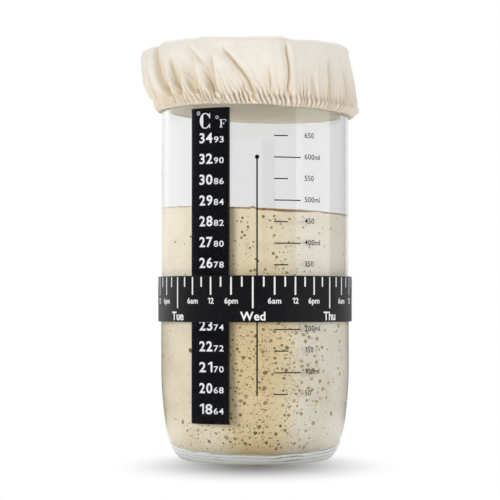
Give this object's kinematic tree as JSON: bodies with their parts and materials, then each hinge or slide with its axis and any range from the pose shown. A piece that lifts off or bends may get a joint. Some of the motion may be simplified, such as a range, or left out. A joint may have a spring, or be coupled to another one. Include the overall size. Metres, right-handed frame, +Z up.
{
  "type": "sourdough starter jar",
  "caption": "Tall round glass jar of sourdough starter with a gathered cloth cover, a stick-on thermometer strip, a volume scale and a sliding week band.",
  "frame": {"origin": "middle of the foot, on the surface that the jar stands on", "axes": "+Z up along the jar's axis, -Y towards the viewer who reads the scales, +X to that viewer's right"},
  "size_m": [0.0918, 0.0882, 0.1754],
  "materials": {
    "clear_glass": "clear, polished",
    "sourdough": null,
    "scale_enamel": "dark printed enamel",
    "strip_adhesive": "clear tacky film",
    "strip_backing": "black, semi-gloss",
    "strip_cells": "liquid-crystal ink, dark when idle",
    "strip_film": "clear polyester film",
    "band_silicone": "charcoal, finely ribbed",
    "band_print": "white silicone ink",
    "cotton": "natural cotton, plain weave",
    "elastic": "knitted elastic",
    "thread": "cotton thread"
  },
  "bodies": {
    "jar": {"glass_jar": "clear_glass", "starter": "sourdough", "volume_ticks": "scale_enamel", "level_line": "scale_enamel", "thermometer_adhesive": "strip_adhesive", "thermometer_strip": "strip_backing", "thermometer_cells": "strip_cells", "thermometer_film": "strip_film"},
    "band": {"feeding_band": "band_silicone"},
    "band_scale": {"band_ticks": "band_print"},
    "cover": {"cover_cloth": "cotton", "hem_elastic": "elastic", "hem_stitches": "thread"}
  },
  "joints": [
    {"name": "cover_lift", "type": "slide", "parent": "jar", "child": "cover", "axis": [0, 0, 1], "range_m": [0, 0.1]},
    {"name": "band_slide", "type": "slide", "parent": "jar", "child": "band", "axis": [0, 0, 1], "range_m": [-0.036, 0.067]},
    {"name": "band_turn", "type": "hinge", "parent": "band", "child": "band_scale", "pos_m": [0, 0, 0.0681], "axis": [0, 0, 1], "continuous": true}
  ]
}
